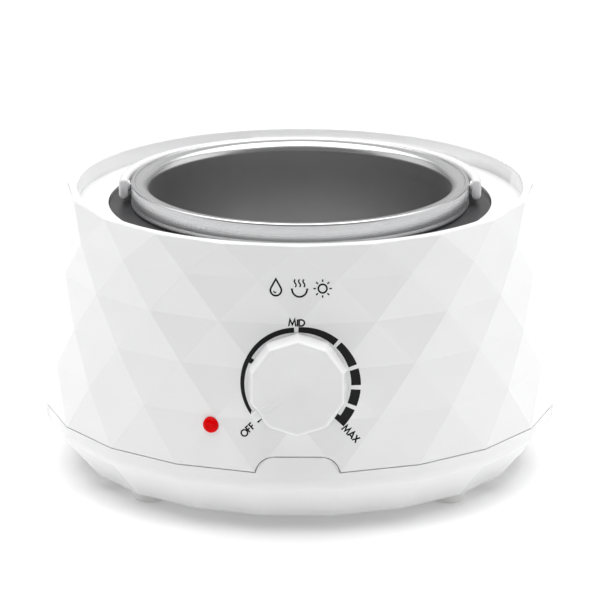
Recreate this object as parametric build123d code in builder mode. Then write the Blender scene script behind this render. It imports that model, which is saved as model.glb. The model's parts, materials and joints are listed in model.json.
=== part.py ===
from build123d import *
from math import cos, radians, sin
import os

os.makedirs("parts", exist_ok=True)

# Tabletop wax warmer: a faceted 20-sided plastic body on four feet, a heated aluminium well and a
# lift-out aluminium pot with a folding bail.  Millimetres, +Z up, front towards -Y.

# ---------------------------------------------------------------- driving dimensions
# The knob stands out at the front, so the body's axis is set back from the origin, which lies
# under the middle of the overall box.
AXIS_Y = 5.0

SIDES = 20
STEP = 360 / SIDES
FLAT = cos(radians(STEP / 2))  # distance to a flat over distance to a corner
WALL = 2.2
SHEET_T = 0.8
CLOSE_FIT = 0.05
EASY_FIT = 0.1
CLEAR_FIT = 0.2
OVERCUT = 2.0

BASE_Z = 4.0
BASE_R = 81.6
BELT_Z = 18.8
BELT_R = 94.2
SEAM_Z = 24.0
SEAM_GAP = 0.35

# Rows of facet corners above the seam: height, corner radius.  Every second row is turned half a
# side, so each band between two rows is a belt of triangles.
ROWS = [(SEAM_Z, BELT_R), (42.8, 92.5), (60.6, 90.6), (76.9, 88.9), (92.3, 87.4), (103.8, 85.2)]
LIP_Z = 104.2
LIP_R = 84.8
LIP_INNER_R = 81.2
LIP_ROUND = 0.6
DECK_Z = 97.8
DECK_CORNER = 1.3
OPENING_R = 70.0

BASE_SPACE_LOW_R = 79.4
BASE_SPACE_R = 90.6
BASE_SPACE_BEND_Z = 19.3
UPSTAND_IN_R = 89.0
UPSTAND_R = 90.35
UPSTAND_ROOT_R = 90.65
UPSTAND_ROOT = 6.0
COOLING_SLOTS = 24
COOLING_PCR = 56.0
COOLING_L = 14.0
COOLING_W = 2.6

TONGUE_TOP = 5.7
TONGUE_FLAT = 8.0
TONGUE_SHOULDER_R = 6.8
TONGUE_T = 4.0
RIM_LAP = 3.0

FOOT_R = 6.3
FOOT_PCR = 74.0
FOOT_ANGLE = 46.5
FOOT_SINK = 1.0
FOOT_ROUND = 1.6

POST_R = 3.5
POST_PCR = 77.5
POST_Z = 32.0
POST_ANGLES = (60, 120, 240, 300)
SCREW_R = 1.45
SCREW_HEAD_R = 2.8
SCREW_HEAD = 2.0
SCREW_SINK = 3.0
SCREW_BITE = 11.0
SLEEVE_R = 3.8
RECESS_L = 3.2
RECESS_W = 0.8
RECESS_DEPTH = 1.2

RING_TOP = 96.9
RING_IN_R = 59.4
RING_OUT_R = 73.6
RING_LOW = 93.4
RING_ROUND = 0.3

CHAMBER_R = 58.3
CHAMBER_T = 1.2
CHAMBER_FLOOR = 45.0
CHAMBER_FLANGE_R = 73.0
CHAMBER_BEND = 5.0

POT_R = 56.5
POT_T = 1.2
POT_RIM_R = 61.8
POT_RIM_Z = 105.6
POT_SKIRT_Z = 97.1
POT_BEND = 8.0
RIM_T = 1.2
RIM_BEAD = 1.0
RIM_GROOVE = 0.4
RIM_BEND = 2.0

PIVOT_Z = 103.2
PIN_R = 0.8
BAIL_T = 3.5
BAIL_H = 7.6
BAIL_R = 64.4
BAIL_DROP = 0.8
BAIL_TAIL = 3.2
BAIL_DROOP = 1.0
BAIL_BOSS_R = 1.7
PIN_HEAD_R = 1.1

KNOB_Z = 56.0
KNOB_LEAN = 6.0
KNOB_WALL_R = 90.26
KNOB_SIDES = 10
KNOB_R = 18.2
KNOB_FACE_R = 16.4
KNOB_GAP = 1.35
KNOB_TOP = 10.0
KNOB_BEVEL = 0.5
DISH_R = 15.1
DISH_FLAT_R = 4.0
DISH_DEPTH = 1.0
KNOB_HOLLOW_R = 14.6
KNOB_FACE_T = 3.2
HUB_R = 5.4
POINTER_ANGLE = 214.5
POINTER_R = 10.0
POINTER_L = 9.6
POINTER_W = 0.5
POINTER_GAP = 2.6
POINTER_SINK = 0.1
HUB_RING_R = 6.1
HUB_RING_W = 2.0
HUB_RING_GAP = 2.5
SHAFT_R = 3.0
SHAFT_FLAT = 1.75
KNOB_PAD_R = 14.0
PAD_DEPTH = 5.0

LAMP_ANGLE = -19.2
LAMP_Z = 39.9
LAMP_WALL_R = 92.5
LENS_R = 2.85
LENS_STEM_R = 2.2
LENS_SINK = 0.6

INLET_Z = 36.5
INLET_PITCH = 8.6
INLET_LOBE_R = 4.2
INLET_PIN_R = 1.18
INLET_PIN_FIT = 0.02
INLET_PIN_ROUND = 0.6
INLET_PIN_DIP = 1.5
INLET_DEEP = 9.0
INLET_PAD = (28.0, 18.0)
INLET_FLANGE = (24.0, 15.0)
INLET_SHANK = (22.0, 13.0)
INLET_FLANGE_T = 1.6
INLET_CORNER = 2.8
INLET_WAIST = 6.8
INLET_FIT = 0.4

HEATER_Z = 52.0
HEATER_H = 22.0
HEATER_T = 1.2
HEATER_GAP = 10.0
CLAMP_T = 0.7
CLAMP_GAP = 7.0
CLAMP_INSET = 3.0
CLAMP_EAR = 9.8
CLAMP_BOLT = 11.5
CLAMP_NUT_T = 2.2
TAB_W = 6.0
TAB_H = 6.0
TAB_T = 0.8

SPACER_PCR = 38.0
SPACER_R = 4.0
SPACER_Z = 14.0
WELD_BOSS = 5.0
WIRE_R = 1.0
FUSE_Y = 22.0

PLATE_T = 1.2
PLATE_W = 26.0
PLATE_H = 18.0
PLATE_CORNER = 3.0
BUSHING_R = 4.8
BUSHING_OUT = 0.8
SCREW_SPAN = 9.9
SCREW_DIP = 0.9
PAN_HEAD_R = 2.5
PAN_HEAD = 1.4
PAN_RECESS = 0.7
BODY_W = 14.0
BODY_H = 24.0
BODY_DEPTH = 13.0
ARM_H = 12.0
STRIP_W = 6.0
STRIP_L = 30.0
STRIP_UP = 4.0
STRIP_ROUND = 1.5
SHAFT_INSIDE = 12.0
BLADE_DEPTHS = (4.0, 9.0)
BLADE_LOW = -20.0
BLADE_L = 8.0
BLADE_W = 6.3
BLADE_T = 0.8

LENS_STEM = 6.5
LENS_BORE_R = 1.6
LENS_DOME = 1.8
RETAINER_R = 4.2
RETAINER_T = 0.6
RETAINER_AT = 4.4
NEON_L = 12.0
NEON_AT = 13.0
NEON_ROUND = 0.5
INLET_BODY = 14.0
INLET_TAIL = 19.0

FUSE_R = 2.0
FUSE_L = 11.0
FUSE_LEAD = 5.0
FUSE_LEAD_R = 0.5
CLIP_W = 6.0
CLIP_FOOT = 14.0
CLIP_FOOT_AT = 9.0
WIRE_BEND = 4.0

# ---------------------------------------------------------------- shared frames
body_axis = Axis((0, AXIS_Y, 0), (0, 0, 1))
section = Plane.XZ.offset(-AXIS_Y)


def level(z):
    """Horizontal plane on the body's axis."""
    return Plane((0, AXIS_Y, z))


def under(z):
    """Horizontal plane on the body's axis, looking down."""
    return Plane((0, AXIS_Y, z), x_dir=(1, 0, 0), z_dir=(0, 0, -1))


def outward(angle, radius, z, lean=0.0):
    """Plane that looks out of the body at an angle from the front, leaning back by some degrees."""
    a, b = radians(angle), radians(lean)
    out = (sin(a) * cos(b), -cos(a) * cos(b), sin(b))
    return Plane((radius * sin(a), AXIS_Y - radius * cos(a), z), x_dir=(cos(a), sin(a), 0), z_dir=out)


def around(angle, radius):
    """Point at an angle from the front, on a level plane."""
    return radius * sin(radians(angle)), -radius * cos(radians(angle))


def pivot_plane(side, x):
    """Plane across one of the bail's pivots, looking out to the side."""
    return Plane((side * x, AXIS_Y, PIVOT_Z), x_dir=(0, 1, 0), z_dir=(side, 0, 0))


def corners(radius, z, turn):
    """Corners of one row of the faceted body."""
    spots = [around(STEP * (k + turn), radius) for k in range(SIDES)]
    return [(x, AXIS_Y + y, z) for x, y in spots]


def facet(*points):
    """Flat face through some points."""
    return Face(Wire.make_polygon(points))


def tongue_face(grow):
    """Face of the base's front tongue, standing on the seam."""
    half = BELT_R * sin(radians(STEP / 2)) + grow
    top = TONGUE_TOP + grow
    bend = TONGUE_SHOULDER_R + grow
    with BuildSketch() as tongue:
        with BuildLine():
            RadiusArc((-half, 0), (-TONGUE_FLAT, top), bend)
            Line((-TONGUE_FLAT, top), (TONGUE_FLAT, top))
            RadiusArc((TONGUE_FLAT, top), (half, 0), bend)
            Line((half, 0), (-half, 0))
        make_face()
    return tongue.sketch


tongue_plane = Plane((0, AXIS_Y - BELT_R, SEAM_Z), x_dir=(1, 0, 0), z_dir=(0, -1, 0))
knob_plane = outward(0, KNOB_WALL_R, KNOB_Z, KNOB_LEAN)
lamp_plane = outward(LAMP_ANGLE, LAMP_WALL_R, LAMP_Z)
lamp_axis = Axis(lamp_plane.origin, lamp_plane.z_dir)
inlet_plane = outward(180, BELT_R * FLAT, INLET_Z)

# Faceted body above the seam: belts of triangles between the rows, then a narrow flat-sided lip.
wall_rows = [corners(r, z, 0.5 * ((n + 1) % 2)) for n, (z, r) in enumerate(ROWS)]
top_row = wall_rows[-1]
lip_row = corners(LIP_R, LIP_Z, 0)
facets = [facet(*wall_rows[0]), facet(*lip_row)]
for n, (low, high) in enumerate(zip(wall_rows, wall_rows[1:])):
    first, second = (low, high) if n % 2 else (high, low)
    zigzag = [p for pair in zip(first, second) for p in pair]
    facets += [facet(zigzag[k - 2], zigzag[k - 1], zigzag[k]) for k in range(len(zigzag))]
facets += [facet(top_row[k - 1], top_row[k], lip_row[k], lip_row[k - 1]) for k in range(SIDES)]
wall_solid = Solid(Shell(facets))

base_points = corners(BASE_R, BASE_Z, 0.5) + corners(BELT_R, BELT_Z, 0.5) + corners(BELT_R, SEAM_Z, 0.5)
post_spots = [around(a, POST_PCR) for a in POST_ANGLES]
spacer_spots = [around(a, SPACER_PCR) for a in (0, 120, 240)]
foot_spots = {
    "front_left": around(-FOOT_ANGLE, FOOT_PCR),
    "front_right": around(FOOT_ANGLE, FOOT_PCR),
    "rear_left": around(FOOT_ANGLE - 180, FOOT_PCR),
    "rear_right": around(180 - FOOT_ANGLE, FOOT_PCR),
}

# ---------------------------------------------------------------- outer shell
deck_under = DECK_Z - WALL

# Space inside the shell: the wall's inner cone, less the pads and posts that stay solid.
with BuildPart() as shell_space:
    with BuildSketch(section):
        inner = [(FLAT * r - WALL, z) for z, r in ROWS[:-1]]
        shoulder = (FLAT * ROWS[-1][1] - WALL + DECK_CORNER, deck_under)
        Polygon((0, BELT_Z), (inner[0][0], BELT_Z), *inner, shoulder, (0, deck_under), align=None)
    revolve(axis=body_axis)
    with BuildSketch(level(BELT_Z)):
        with Locations(*post_spots):
            Circle(POST_R)
    extrude(amount=POST_Z - BELT_Z)
    with BuildSketch(level(POST_Z)):
        with Locations(*post_spots):
            Circle(POST_R)
    extrude(amount=LIP_Z - POST_Z, mode=Mode.SUBTRACT)
    with BuildSketch(knob_plane.offset(-PAD_DEPTH)):
        Circle(KNOB_PAD_R)
    extrude(amount=PAD_DEPTH + OVERCUT, mode=Mode.SUBTRACT)
    with BuildSketch(inlet_plane.offset(-PAD_DEPTH)):
        Rectangle(*INLET_PAD)
    extrude(amount=PAD_DEPTH + OVERCUT, mode=Mode.SUBTRACT)

with BuildPart() as outer_shell:
    add(wall_solid)
    add(shell_space.part, mode=Mode.SUBTRACT)
    with BuildSketch(level(DECK_Z)):
        Circle(LIP_INNER_R)
    extrude(amount=LIP_Z, mode=Mode.SUBTRACT)
    with BuildSketch(level(deck_under)):
        Circle(OPENING_R)
    extrude(amount=LIP_Z, mode=Mode.SUBTRACT)
    with BuildSketch(level(BELT_Z)):
        Circle(BELT_R + OVERCUT)
    extrude(amount=SEAM_Z + SEAM_GAP - BELT_Z, mode=Mode.SUBTRACT)
    with BuildSketch(tongue_plane):
        add(tongue_face(SEAM_GAP))
    extrude(amount=-2 * PAD_DEPTH, mode=Mode.SUBTRACT)
    # pilot holes for the base screws
    with Locations(under(POST_Z)):
        with Locations(*[(x, -y) for x, y in post_spots]):
            Hole(SCREW_R + CLOSE_FIT, depth=SCREW_BITE + OVERCUT / 2)
    # thermostat bushing and its two screws, lamp lens, power inlet
    with Locations(knob_plane):
        Hole(BUSHING_R + CLEAR_FIT, depth=3 * PAD_DEPTH)
        with Locations((-SCREW_SPAN, 0), (SCREW_SPAN, 0)):
            Hole(SCREW_R + EASY_FIT, depth=3 * PAD_DEPTH)
    with BuildSketch(knob_plane.offset(-SCREW_DIP)):
        with Locations((-SCREW_SPAN, 0), (SCREW_SPAN, 0)):
            Circle(PAN_HEAD_R + EASY_FIT)
    extrude(amount=SCREW_DIP + OVERCUT, mode=Mode.SUBTRACT)
    with Locations(lamp_plane):
        Hole(LENS_STEM_R + EASY_FIT, depth=2 * PAD_DEPTH)
    with BuildSketch(lamp_plane.offset(-LENS_SINK)):
        Circle(LENS_R + EASY_FIT)
    extrude(amount=LENS_SINK + OVERCUT, mode=Mode.SUBTRACT)
    with BuildSketch(inlet_plane.offset(-INLET_FLANGE_T)):
        RectangleRounded(INLET_FLANGE[0] + INLET_FIT, INLET_FLANGE[1] + INLET_FIT, INLET_CORNER + CLEAR_FIT)
    extrude(amount=INLET_FLANGE_T + OVERCUT, mode=Mode.SUBTRACT)
    with BuildSketch(inlet_plane.offset(-INLET_FLANGE_T)):
        RectangleRounded(INLET_SHANK[0] + INLET_FIT, INLET_SHANK[1] + INLET_FIT, INLET_CORNER - 1 + CLEAR_FIT)
    extrude(amount=-2 * PAD_DEPTH, mode=Mode.SUBTRACT)
    lip_edge = outer_shell.edges().filter_by(GeomType.CIRCLE).sort_by(Axis.Z)[-1]
    fillet(lip_edge, LIP_ROUND)
outer_shell.part.label = "outer_shell"
export_step(outer_shell.part, "parts/outer_shell.step")

# ---------------------------------------------------------------- base shell
floor_z = BASE_Z + WALL

with BuildPart() as base_space:
    with BuildSketch(section):
        Polygon(
            (0, floor_z), (BASE_SPACE_LOW_R, floor_z), (BASE_SPACE_R, BASE_SPACE_BEND_Z),
            (BASE_SPACE_R, SEAM_Z + OVERCUT), (0, SEAM_Z + OVERCUT), align=None,
        )
    revolve(axis=body_axis)
    with BuildSketch(level(floor_z)):
        with Locations(*post_spots):
            Circle(SLEEVE_R)
        with Locations(*spacer_spots):
            Circle(SPACER_R + 1)
    extrude(amount=SPACER_Z - floor_z, mode=Mode.SUBTRACT)

with BuildPart() as base_shell:
    add(wall_solid)
    with BuildSketch(tongue_plane):
        add(tongue_face(0))
    extrude(amount=-TONGUE_T, mode=Mode.INTERSECT)
    ConvexPolyhedron(base_points)
    add(base_space.part, mode=Mode.SUBTRACT)
    # upstand that locates the outer shell, and the tops of the screw posts
    with BuildSketch(level(SEAM_Z - UPSTAND_ROOT)):
        Circle(UPSTAND_ROOT_R)
        Circle(UPSTAND_IN_R, mode=Mode.SUBTRACT)
    extrude(amount=UPSTAND_ROOT + RIM_LAP)
    with BuildSketch(level(SEAM_Z)):
        Circle(UPSTAND_ROOT_R + OVERCUT)
        Circle(UPSTAND_R, mode=Mode.SUBTRACT)
        with Locations((0, -BELT_R)):
            Rectangle(2 * TONGUE_FLAT, 4 * WALL, mode=Mode.SUBTRACT)
    extrude(amount=RIM_LAP + OVERCUT, mode=Mode.SUBTRACT)
    with BuildSketch(level(SPACER_Z)):
        with Locations(*post_spots):
            Circle(SLEEVE_R)
    extrude(amount=POST_Z - SPACER_Z)
    with Locations(under(BASE_Z)):
        with Locations(*[(x, -y) for x, y in post_spots]):
            CounterBoreHole(SCREW_R + CLEAR_FIT, SCREW_HEAD_R + CLEAR_FIT, SCREW_SINK, depth=POST_Z)
        with Locations(*[(x, -y) for x, y in spacer_spots]):
            CounterBoreHole(SCREW_R + CLEAR_FIT, SCREW_HEAD_R + CLEAR_FIT, SCREW_SINK, depth=SPACER_Z)
    with BuildSketch(level(BASE_Z)):
        with Locations(*foot_spots.values()):
            Circle(FOOT_R + EASY_FIT)
    extrude(amount=FOOT_SINK, mode=Mode.SUBTRACT)
    # cooling slots
    with BuildSketch(level(BASE_Z)):
        with PolarLocations(COOLING_PCR, COOLING_SLOTS):
            SlotOverall(COOLING_L, COOLING_W)
    extrude(amount=WALL, mode=Mode.SUBTRACT)
base_shell.part.label = "base_shell"
export_step(base_shell.part, "parts/base_shell.step")

for corner, (x, y) in foot_spots.items():
    with BuildPart() as foot:
        with BuildSketch(Plane((x, AXIS_Y + y, 0))):
            Circle(FOOT_R)
        extrude(amount=BASE_Z + FOOT_SINK)
        fillet(foot.edges().sort_by(Axis.Z)[0], FOOT_ROUND)
    foot.part.label = f"foot_{corner}"
    export_step(foot.part, f"parts/foot_{corner}.step")

with BuildPart() as base_screws:
    with BuildSketch(level(BASE_Z + SCREW_SINK - SCREW_HEAD)):
        with Locations(*post_spots):
            Circle(SCREW_HEAD_R)
    extrude(amount=SCREW_HEAD)
    with BuildSketch(level(BASE_Z + SCREW_SINK)):
        with Locations(*post_spots):
            Circle(SCREW_R)
    extrude(amount=POST_Z + SCREW_BITE - BASE_Z - SCREW_SINK)
    with BuildSketch(level(BASE_Z + SCREW_SINK - SCREW_HEAD)):
        with Locations(*post_spots):
            Rectangle(RECESS_L, RECESS_W)
            Rectangle(RECESS_W, RECESS_L)
    extrude(amount=RECESS_DEPTH, mode=Mode.SUBTRACT)
base_screws.part.label = "base_screws"
export_step(base_screws.part, "parts/base_screws.step")

# ---------------------------------------------------------------- heated well
with BuildPart() as insulating_ring:
    with BuildSketch(section):
        inside = OPENING_R - CLEAR_FIT
        Polygon(
            (RING_IN_R, RING_LOW), (RING_OUT_R, RING_LOW), (RING_OUT_R, deck_under), (inside, deck_under),
            (inside, RING_TOP), (RING_IN_R, RING_TOP), align=None,
        )
    revolve(axis=body_axis)
    fillet(insulating_ring.edges().group_by(Axis.Z)[-1], RING_ROUND)
insulating_ring.part.label = "insulating_ring"
export_step(insulating_ring.part, "parts/insulating_ring.step")

floor_under = CHAMBER_FLOOR - CHAMBER_T
boss_under = floor_under - WELD_BOSS
chamber_outer_r = CHAMBER_R + CHAMBER_T

with BuildPart() as heating_chamber:
    with BuildSketch(section):
        with BuildLine():
            FilletPolyline(
                (0, CHAMBER_FLOOR), (CHAMBER_R, CHAMBER_FLOOR), (CHAMBER_R, RING_LOW), radius=CHAMBER_BEND
            )
            Polyline(
                (CHAMBER_R, RING_LOW), (CHAMBER_FLANGE_R, RING_LOW), (CHAMBER_FLANGE_R, RING_LOW - CHAMBER_T),
                (chamber_outer_r, RING_LOW - CHAMBER_T),
            )
            FilletPolyline(
                (chamber_outer_r, RING_LOW - CHAMBER_T), (chamber_outer_r, floor_under), (0, floor_under),
                radius=CHAMBER_BEND + CHAMBER_T,
            )
            Line((0, floor_under), (0, CHAMBER_FLOOR))
        make_face()
    revolve(axis=body_axis)
    with BuildSketch(level(boss_under)):
        with Locations(*spacer_spots):
            Circle(SPACER_R)
    extrude(amount=WELD_BOSS)
    with Locations(under(boss_under)):
        with Locations(*[(x, -y) for x, y in spacer_spots]):
            Hole(SCREW_R + CLOSE_FIT, depth=WELD_BOSS - CLEAR_FIT)
heating_chamber.part.label = "heating_chamber"
export_step(heating_chamber.part, "parts/heating_chamber.step")

with BuildPart() as chamber_spacers:
    with BuildSketch(level(SPACER_Z)):
        with Locations(*spacer_spots):
            Circle(SPACER_R)
            Circle(SCREW_R + CLEAR_FIT, mode=Mode.SUBTRACT)
    extrude(amount=boss_under - SPACER_Z)
chamber_spacers.part.label = "chamber_spacers"
export_step(chamber_spacers.part, "parts/chamber_spacers.step")

with BuildPart() as chamber_screws:
    with BuildSketch(level(BASE_Z + SCREW_SINK - SCREW_HEAD)):
        with Locations(*spacer_spots):
            Circle(SCREW_HEAD_R)
    extrude(amount=SCREW_HEAD)
    with BuildSketch(level(BASE_Z + SCREW_SINK)):
        with Locations(*spacer_spots):
            Circle(SCREW_R)
    extrude(amount=floor_under - 1 - BASE_Z - SCREW_SINK)
    with BuildSketch(level(BASE_Z + SCREW_SINK - SCREW_HEAD)):
        with Locations(*spacer_spots):
            Rectangle(RECESS_L, RECESS_W)
            Rectangle(RECESS_W, RECESS_L)
    extrude(amount=RECESS_DEPTH, mode=Mode.SUBTRACT)
chamber_screws.part.label = "chamber_screws"
export_step(chamber_screws.part, "parts/chamber_screws.step")

heater_r = chamber_outer_r + CLOSE_FIT
with BuildPart() as heater_band:
    with BuildSketch(level(HEATER_Z)):
        Circle(heater_r + HEATER_T)
        Circle(heater_r, mode=Mode.SUBTRACT)
        with Locations((0, heater_r)):
            Rectangle(HEATER_GAP, HEATER_GAP, mode=Mode.SUBTRACT)
    extrude(amount=HEATER_H)
heater_band.part.label = "heater_band"
export_step(heater_band.part, "parts/heater_band.step")

clamp_r = heater_r + HEATER_T + CLOSE_FIT
ear_x = (CLAMP_GAP + CLAMP_T) / 2
ear_y = clamp_r + (CLAMP_EAR - CLAMP_T) / 2
bolt_plane = Plane((0, AXIS_Y + ear_y + 1, HEATER_Z + HEATER_H / 2), x_dir=(0, 1, 0), z_dir=(1, 0, 0))
with BuildPart() as heater_clamp:
    with BuildSketch(level(HEATER_Z + CLAMP_INSET)):
        Circle(clamp_r + CLAMP_T)
        Circle(clamp_r, mode=Mode.SUBTRACT)
        with Locations((0, clamp_r)):
            Rectangle(CLAMP_GAP, HEATER_GAP, mode=Mode.SUBTRACT)
        with Locations((-ear_x, ear_y), (ear_x, ear_y)):
            Rectangle(CLAMP_T, CLAMP_EAR)
    extrude(amount=HEATER_H - 2 * CLAMP_INSET)
    with BuildSketch(bolt_plane):
        Circle(SCREW_R + CLOSE_FIT)
    extrude(amount=CLAMP_GAP, both=True, mode=Mode.SUBTRACT)
heater_clamp.part.label = "heater_clamp"
export_step(heater_clamp.part, "parts/heater_clamp.step")

ear_outside = CLAMP_GAP / 2 + CLAMP_T
with BuildPart() as clamp_screw:
    with BuildSketch(bolt_plane.offset(-ear_outside)):
        Circle(SCREW_R)
    extrude(amount=CLAMP_BOLT)
    with BuildSketch(bolt_plane.offset(-ear_outside)):
        Circle(SCREW_HEAD_R)
    extrude(amount=-SCREW_HEAD)
    with BuildSketch(bolt_plane.offset(ear_outside)):
        RegularPolygon(SCREW_HEAD_R, 6)
    extrude(amount=CLAMP_NUT_T)
clamp_screw.part.label = "clamp_screw"
export_step(clamp_screw.part, "parts/clamp_screw.step")

# Two tabs that bring the heating wire out below the band, one each side.
tab_angles = {"left": -150, "right": 150}
with BuildPart() as heater_tabs:
    for angle in tab_angles.values():
        with BuildSketch(outward(angle, heater_r + (HEATER_T - TAB_T) / 2, HEATER_Z)):
            with Locations((0, -TAB_H / 2)):
                Rectangle(TAB_W, TAB_H)
        extrude(amount=TAB_T)
heater_tabs.part.label = "heater_tabs"
export_step(heater_tabs.part, "parts/heater_tabs.step")

# ---------------------------------------------------------------- pot and bail
skirt_in_r = POT_RIM_R - SHEET_T
pot_in_r = POT_R - POT_T
rim_under = POT_RIM_Z - RIM_T
rim_flat = POT_RIM_Z - RIM_GROOVE
bend_z = rim_flat - RIM_BEND

with BuildPart() as wax_pot:
    with BuildSketch(section):
        with BuildLine():
            FilletPolyline(
                (0, CHAMBER_FLOOR), (POT_R, CHAMBER_FLOOR), (POT_R, rim_under - RIM_T), radius=POT_BEND
            )
            RadiusArc((POT_R, rim_under - RIM_T), (POT_R + RIM_T, rim_under), RIM_T)
            Polyline(
                (POT_R + RIM_T, rim_under), (skirt_in_r, rim_under), (skirt_in_r, POT_SKIRT_Z),
                (POT_RIM_R, POT_SKIRT_Z), (POT_RIM_R, POT_RIM_Z - RIM_BEAD),
            )
            RadiusArc((POT_RIM_R, POT_RIM_Z - RIM_BEAD), (POT_RIM_R - RIM_BEAD, POT_RIM_Z), -RIM_BEAD)
            Polyline(
                (POT_RIM_R - RIM_BEAD, POT_RIM_Z), (POT_RIM_R - RIM_BEAD - RIM_GROOVE, rim_flat),
                (pot_in_r + RIM_BEND, rim_flat),
            )
            RadiusArc((pot_in_r + RIM_BEND, rim_flat), (pot_in_r, bend_z), -RIM_BEND)
            FilletPolyline(
                (pot_in_r, bend_z), (pot_in_r, CHAMBER_FLOOR + POT_T), (0, CHAMBER_FLOOR + POT_T),
                radius=POT_BEND - POT_T,
            )
            Line((0, CHAMBER_FLOOR + POT_T), (0, CHAMBER_FLOOR))
        make_face()
    revolve(axis=body_axis)
    for side in (-1, 1):
        with BuildSketch(pivot_plane(side, POT_R)):
            Circle(PIN_R + CLOSE_FIT)
        extrude(amount=POT_RIM_R, mode=Mode.SUBTRACT)
wax_pot.part.label = "wax_pot"
export_step(wax_pot.part, "parts/wax_pot.step")

# Rivets through the skirt that carry the bail.
pin_out_r = BAIL_R + CLEAR_FIT
with BuildPart() as pivot_pins:
    for side in (-1, 1):
        with BuildSketch(pivot_plane(side, skirt_in_r - EASY_FIT)):
            Circle(PIN_R)
        extrude(amount=pin_out_r - skirt_in_r + EASY_FIT)
        with BuildSketch(pivot_plane(side, skirt_in_r - EASY_FIT)):
            Circle(PIN_HEAD_R)
        extrude(amount=-PIN_R)
pivot_pins.part.label = "pivot_pins"
export_step(pivot_pins.part, "parts/pivot_pins.step")

droop = radians(BAIL_DROOP)
bail_plane = Plane((0, AXIS_Y, PIVOT_Z), x_dir=(1, 0, 0), z_dir=(0, sin(droop), cos(droop)))
with BuildPart() as pot_handle:
    with BuildLine(bail_plane.offset(-BAIL_DROP)):
        left = Line((-BAIL_R, -BAIL_TAIL), (-BAIL_R, 0))
        arch = ThreePointArc((-BAIL_R, 0), (0, BAIL_R), (BAIL_R, 0))
        right = Line((BAIL_R, 0), (BAIL_R, -BAIL_TAIL))
    with BuildSketch(Plane(left @ 0, x_dir=(1, 0, 0), z_dir=left % 0)):
        SlotOverall(BAIL_H, BAIL_T, rotation=90)
    sweep()
    for side in (-1, 1):
        with BuildSketch(pivot_plane(side, POT_RIM_R + CLEAR_FIT)):
            Circle(BAIL_BOSS_R)
        extrude(amount=BAIL_R - POT_RIM_R - CLEAR_FIT)
        with BuildSketch(pivot_plane(side, POT_RIM_R + CLEAR_FIT)):
            Circle(PIN_R + CLOSE_FIT)
        extrude(amount=pin_out_r - POT_RIM_R, mode=Mode.SUBTRACT)
pot_handle.part.label = "pot_handle"
export_step(pot_handle.part, "parts/pot_handle.step")

# ---------------------------------------------------------------- knob and thermostat
with BuildPart() as control_knob:
    with BuildSketch(knob_plane.offset(KNOB_GAP)):
        RegularPolygon(KNOB_R, KNOB_SIDES, rotation=90)
    with BuildSketch(knob_plane.offset(KNOB_TOP)):
        RegularPolygon(KNOB_FACE_R, KNOB_SIDES, rotation=90)
    loft()
    chamfer(control_knob.faces().sort_by(Axis.Y)[0].edges(), KNOB_BEVEL)
    # dished face: a shallow ten-sided funnel with a small flat in the middle
    with BuildSketch(knob_plane.offset(KNOB_TOP)):
        RegularPolygon(DISH_R, KNOB_SIDES, rotation=90)
    with BuildSketch(knob_plane.offset(KNOB_TOP - DISH_DEPTH)):
        RegularPolygon(DISH_FLAT_R, KNOB_SIDES, rotation=90)
    loft(mode=Mode.SUBTRACT)
    # hollow back round a hub
    with BuildSketch(knob_plane.offset(KNOB_GAP)):
        Circle(KNOB_HOLLOW_R)
        Circle(HUB_R, mode=Mode.SUBTRACT)
    extrude(amount=KNOB_TOP - KNOB_GAP - KNOB_FACE_T, mode=Mode.SUBTRACT)
    with BuildSketch(knob_plane.offset(KNOB_GAP)):
        Circle(SHAFT_R + CLOSE_FIT)
        with Locations((0, -SHAFT_R)):
            Rectangle(2 * SHAFT_R, 2 * (SHAFT_R - SHAFT_FLAT - CLOSE_FIT), mode=Mode.SUBTRACT)
    extrude(amount=KNOB_TOP - KNOB_GAP - KNOB_FACE_T + CLEAR_FIT, mode=Mode.SUBTRACT)
    # pointer: two ridges along the dish, towards the off mark
    with BuildSketch(knob_plane.offset(KNOB_TOP - DISH_DEPTH)):
        for gap in (-POINTER_GAP / 2, POINTER_GAP / 2):
            with Locations(Rot(0, 0, POINTER_ANGLE) * Pos(POINTER_R, gap)):
                Rectangle(POINTER_L, POINTER_W)
    extrude(amount=DISH_DEPTH - POINTER_SINK)
control_knob.part.label = "control_knob"
export_step(control_knob.part, "parts/control_knob.step")

# The D-shaped shaft turns with the knob; the knob grips it with a spring ring round its split hub.
with BuildPart() as thermostat_shaft:
    with BuildSketch(knob_plane.offset(-SHAFT_INSIDE)):
        Circle(SHAFT_R)
    extrude(amount=SHAFT_INSIDE + KNOB_TOP - KNOB_FACE_T - CLEAR_FIT)
    with BuildSketch(knob_plane.offset(KNOB_GAP)):
        with Locations((0, -SHAFT_R)):
            Rectangle(2 * SHAFT_R, 2 * (SHAFT_R - SHAFT_FLAT))
    extrude(amount=KNOB_TOP, mode=Mode.SUBTRACT)
thermostat_shaft.part.label = "thermostat_shaft"
export_step(thermostat_shaft.part, "parts/thermostat_shaft.step")

with BuildPart() as knob_ring:
    with BuildSketch(knob_plane.offset(KNOB_GAP + HUB_RING_W)):
        Circle(HUB_RING_R)
        Circle(HUB_R + CLOSE_FIT, mode=Mode.SUBTRACT)
        with Locations((0, HUB_RING_R)):
            Rectangle(HUB_RING_GAP, HUB_RING_GAP, mode=Mode.SUBTRACT)
    extrude(amount=HUB_RING_W)
knob_ring.part.label = "knob_ring"
export_step(knob_ring.part, "parts/knob_ring.step")

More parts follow.
